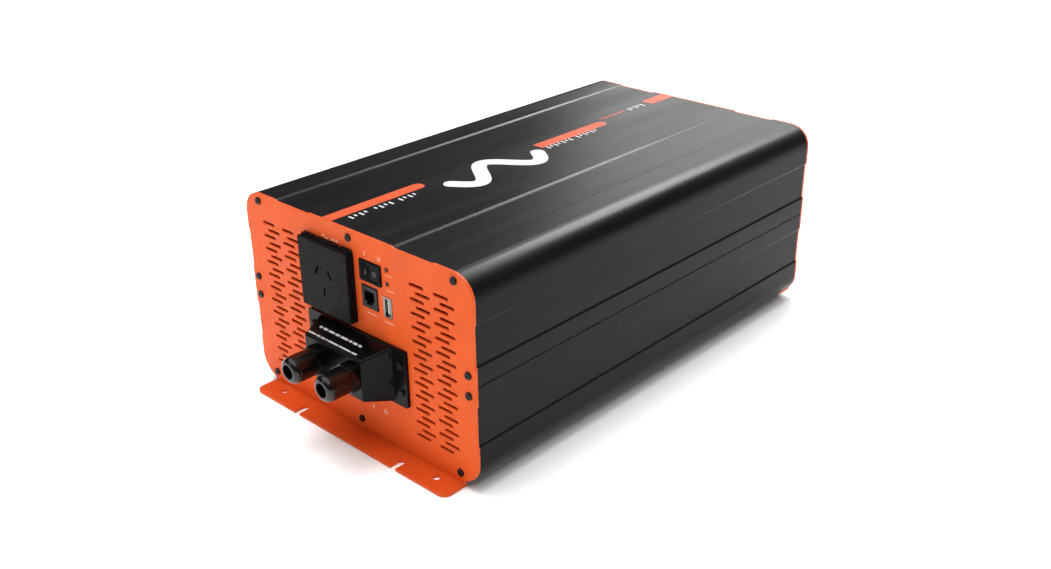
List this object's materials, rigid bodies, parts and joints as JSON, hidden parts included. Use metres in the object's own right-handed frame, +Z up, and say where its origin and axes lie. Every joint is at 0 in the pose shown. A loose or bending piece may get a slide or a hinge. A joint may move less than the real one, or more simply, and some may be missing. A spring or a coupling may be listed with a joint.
{
  "type": "power inverter",
  "caption": "Box-shaped DC to AC power inverter: black extruded housing between orange end panels with feet, outlet, rocker switch, USB port, terminal cover with cable glands and rear fans.",
  "frame": {"origin": "centre of the four mounting holes, on the surface that the feet stand on", "axes": "+X to the right seen from the front, +Y from the front panel to the rear panel, +Z up"},
  "size_m": [0.23, 0.46, 0.1537],
  "materials": {
    "panel_orange": "satin powder coat",
    "housing_black": "fine-grained black anodising",
    "screw_black": "black oxide",
    "outlet_black": "matt moulded",
    "switch_black": "semi-gloss",
    "jack_black": "matt",
    "usb_steel": "nickel plated",
    "usb_tongue": "matt",
    "lamp_dark": "unlit lens",
    "cover_black": "gloss",
    "gland_black": "satin nylon",
    "seal_rubber": "matt",
    "contact_brass": "bright",
    "terminal_block": "matt",
    "fan_black": "matt",
    "guard_chrome": "bright",
    "terminal_red": "moulded",
    "terminal_black": "moulded",
    "board_green": "solder mask",
    "board_hardware": "zinc plated",
    "insulation": "matt film",
    "heatsink_aluminium": "extruded",
    "device_black": "moulded epoxy",
    "fuse_body": "translucent",
    "capacitor_sleeve": "sleeved can",
    "ferrite": "sintered",
    "copper": "enamelled copper",
    "lead_insulation": "PVC"
  },
  "bodies": {
    "inverter": {"ac_leads": "lead_insulation", "ac_terminal_block": "terminal_block", "ac_terminal_screws": "contact_brass", "board_screws": "board_hardware", "board_standoffs": "board_hardware", "bus_capacitors": "capacitor_sleeve", "control_board": "board_green", "dc_negative_base": "terminal_black", "dc_negative_stud": "contact_brass", "dc_nuts": "contact_brass", "dc_positive_base": "terminal_red", "dc_positive_stud": "contact_brass", "dc_washers": "contact_brass", "earth_nuts": "contact_brass", "earth_stud": "contact_brass", "fan_guards": "guard_chrome", "fan_screws": "screw_black", "front_panel": "panel_orange", "front_panel_screws": "screw_black", "gland_locknuts": "gland_black", "gland_seals": "seal_rubber", "heatsinks": "heatsink_aluminium", "indicator_lamps": "lamp_dark", "input_capacitors": "capacitor_sleeve", "input_fuses": "fuse_body", "insulation_sheet": "insulation", "interface_board": "board_green", "jack_contacts": "contact_brass", "left_fan_frame": "fan_black", "left_gland_body": "gland_black", "lower_housing": "housing_black", "main_board": "board_green", "negative_busbar": "copper", "outlet_body": "outlet_black", "outlet_contacts": "contact_brass", "output_choke_core": "ferrite", "output_choke_winding": "copper", "positive_busbar": "copper", "power_transistors": "device_black", "rear_panel": "panel_orange", "rear_panel_screws": "screw_black", "remote_jack": "jack_black", "right_fan_frame": "fan_black", "right_gland_body": "gland_black", "switch_frame": "switch_black", "switch_terminals": "contact_brass", "terminal_cover": "cover_black", "terminal_cover_screws": "screw_black", "transformer_cores": "ferrite", "transformer_windings": "copper", "transistor_clamps": "board_hardware", "upper_housing": "housing_black", "usb_shell": "usb_steel", "usb_tongue": "usb_tongue"},
    "rocker": {"switch_rocker": "switch_black"},
    "left_fan": {"left_fan_rotor": "fan_black"},
    "right_fan": {"right_fan_rotor": "fan_black"},
    "left_nut": {"left_gland_nut": "gland_black"},
    "right_nut": {"right_gland_nut": "gland_black"}
  },
  "joints": [
    {"name": "switch_rocker_tilt", "type": "hinge", "parent": "inverter", "child": "rocker", "pos_m": [0.0208, -0.1914, 0.1292], "axis": [0, 0, 1], "range_deg": [-16, 0]},
    {"name": "left_fan_spin", "type": "hinge", "parent": "inverter", "child": "left_fan", "pos_m": [-0.063, 0.1785, 0.1027], "axis": [0, 1, 0], "continuous": true},
    {"name": "right_fan_spin", "type": "hinge", "parent": "inverter", "child": "right_fan", "pos_m": [0.063, 0.1785, 0.1027], "axis": [0, 1, 0], "continuous": true},
    {"name": "left_gland_nut_turn", "type": "hinge", "parent": "inverter", "child": "left_nut", "pos_m": [-0.01575, -0.228, 0.0609], "axis": [0, -1, 0], "range_deg": [0, 360]},
    {"name": "right_gland_nut_turn", "type": "hinge", "parent": "inverter", "child": "right_nut", "pos_m": [0.01975, -0.228, 0.0609], "axis": [0, -1, 0], "range_deg": [0, 360]}
  ]
}
